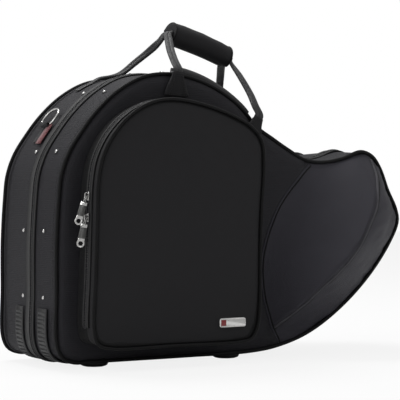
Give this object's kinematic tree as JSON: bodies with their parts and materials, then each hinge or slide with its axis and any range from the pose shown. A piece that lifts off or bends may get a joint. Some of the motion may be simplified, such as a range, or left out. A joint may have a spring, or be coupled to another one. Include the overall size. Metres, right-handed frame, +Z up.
{
  "type": "instrument_case",
  "caption": "Soft-sided French horn case with bell flare, zipped front pocket, hinged lid, wrapped twin-strap handle, D-rings and rubber feet.",
  "frame": {"origin": "middle of the bounding box in plan, on the plane of the foot soles", "axes": "+X along the length of the case from the round end to the bell end, +Y from the front pocket to the back, +Z up"},
  "size_m": [0.6446, 0.3362, 0.5291],
  "materials": {
    "ballistic": "black ribbed ballistic nylon",
    "smooth_fabric": "smooth black padded fabric",
    "plush": "short black plush lining",
    "foam_block": "plush-covered foam block",
    "webbing": "black woven nylon webbing",
    "zipper_tape": "black zipper tape with coil teeth",
    "piping": "black cord piping, satin",
    "rubber": "black moulded rubber",
    "nickel": "plain nickel plate"
  },
  "bodies": {
    "base": {"back_shell": "ballistic", "back_lining": "plush", "back_piping": "piping", "back_zipper_tape": "zipper_tape", "back_hinge_tape": "webbing", "back_foot_left": "rubber", "back_foot_right": "rubber", "back_corner_bumper": "rubber", "back_top_bumper": "rubber", "back_rivet_1": "nickel", "back_rivet_2": "nickel", "back_rivet_3": "nickel", "back_rivet_4": "nickel", "back_handle": "webbing", "d_ring_loop_left": "webbing", "d_ring_loop_right": "webbing", "corner_block": "foam_block", "bell_saddle": "foam_block", "bell_chock": "foam_block"},
    "lid": {"front_shell": "ballistic", "front_lining": "plush", "front_piping": "piping", "front_zipper_tape": "zipper_tape", "front_hinge_tape": "webbing", "front_foot_left": "rubber", "front_foot_right": "rubber", "front_corner_bumper": "rubber", "front_top_bumper": "rubber", "front_rivet_1": "nickel", "front_rivet_2": "nickel", "front_rivet_3": "nickel", "front_rivet_4": "nickel", "front_handle": "webbing", "handle_patch_left": "smooth_fabric", "handle_patch_right": "smooth_fabric", "grip_wrap": "smooth_fabric", "pocket_gusset": "ballistic", "pocket_gusset_tape": "zipper_tape", "lid_pad": "foam_block"},
    "pocket_door": {"pocket_door": "smooth_fabric", "pocket_door_tape": "zipper_tape", "pocket_piping": "piping", "badge": "nickel"},
    "grip_flap": {"grip_flap": "smooth_fabric"},
    "d_ring_left": {"d_ring_left": "nickel"},
    "d_ring_right": {"d_ring_right": "nickel"},
    "pocket_slider_upper": {"pocket_slider_upper": "nickel"},
    "pocket_slider_lower": {"pocket_slider_lower": "nickel"},
    "main_slider_left": {"main_slider_left": "nickel"},
    "main_slider_right": {"main_slider_right": "nickel"},
    "pocket_pull_upper": {"pocket_pull_upper": "nickel"},
    "pocket_pull_lower": {"pocket_pull_lower": "nickel"},
    "main_pull_left": {"main_pull_left": "nickel"},
    "main_pull_right": {"main_pull_right": "nickel"}
  },
  "joints": [
    {"name": "lid_hinge", "type": "hinge", "parent": "base", "child": "lid", "pos_m": [-0.11429, -0.00699, 0.006], "axis": [1, 0, 0], "range_deg": [0, 100]},
    {"name": "pocket_door_hinge", "type": "hinge", "parent": "lid", "child": "pocket_door", "pos_m": [-0.14029, -0.11959, 0.0358], "axis": [1, 0, 0], "range_deg": [0, 85]},
    {"name": "grip_flap_hinge", "type": "hinge", "parent": "lid", "child": "grip_flap", "pos_m": [-0.02355, -0.01225, 0.4792], "axis": [-0.969, 0, 0.2471], "range_deg": [0, 120]},
    {"name": "d_ring_left_hinge", "type": "hinge", "parent": "base", "child": "d_ring_left", "pos_m": [-0.27124, 0.04201, 0.36688], "axis": [0, -1, 0], "range_deg": [0, 165]},
    {"name": "d_ring_right_hinge", "type": "hinge", "parent": "base", "child": "d_ring_right", "pos_m": [0.2981, 0.04301, 0.27782], "axis": [0, 1, 0], "range_deg": [0, 165]},
    {"name": "pocket_slider_upper_track", "type": "slide", "parent": "pocket_door", "child": "pocket_slider_upper", "axis": [0.0512, 0, 0.9987], "range_m": [0, 0.018]},
    {"name": "pocket_slider_lower_track", "type": "slide", "parent": "pocket_door", "child": "pocket_slider_lower", "axis": [0.0306, 0, 0.9995], "range_m": [-0.085, 0]},
    {"name": "pocket_pull_upper_pin", "type": "hinge", "parent": "pocket_slider_upper", "child": "pocket_pull_upper", "pos_m": [-0.28619, -0.11959, 0.25691], "axis": [0, 1, 0], "range_deg": [0, 150]},
    {"name": "pocket_pull_lower_pin", "type": "hinge", "parent": "pocket_slider_lower", "child": "pocket_pull_lower", "pos_m": [-0.2871, -0.11959, 0.22538], "axis": [0, 1, 0], "range_deg": [0, 20]},
    {"name": "main_slider_left_track", "type": "hinge", "parent": "lid", "child": "main_slider_left", "pos_m": [-0.11837, -0.00699, 0.28034], "axis": [0, -1, 0], "range_deg": [0, 9]},
    {"name": "main_slider_right_track", "type": "hinge", "parent": "lid", "child": "main_slider_right", "pos_m": [-0.09241, -0.00699, 0.28482], "axis": [0, 1, 0], "range_deg": [0, 7]},
    {"name": "main_pull_left_pin", "type": "hinge", "parent": "main_slider_left", "child": "main_pull_left", "pos_m": [-0.06287, -0.00699, 0.44102], "axis": [0, 1, 0], "range_deg": [0, 160]},
    {"name": "main_pull_right_pin", "type": "hinge", "parent": "main_slider_right", "child": "main_pull_right", "pos_m": [-0.02726, -0.00699, 0.42656], "axis": [0, -1, 0], "range_deg": [0, 160]}
  ]
}
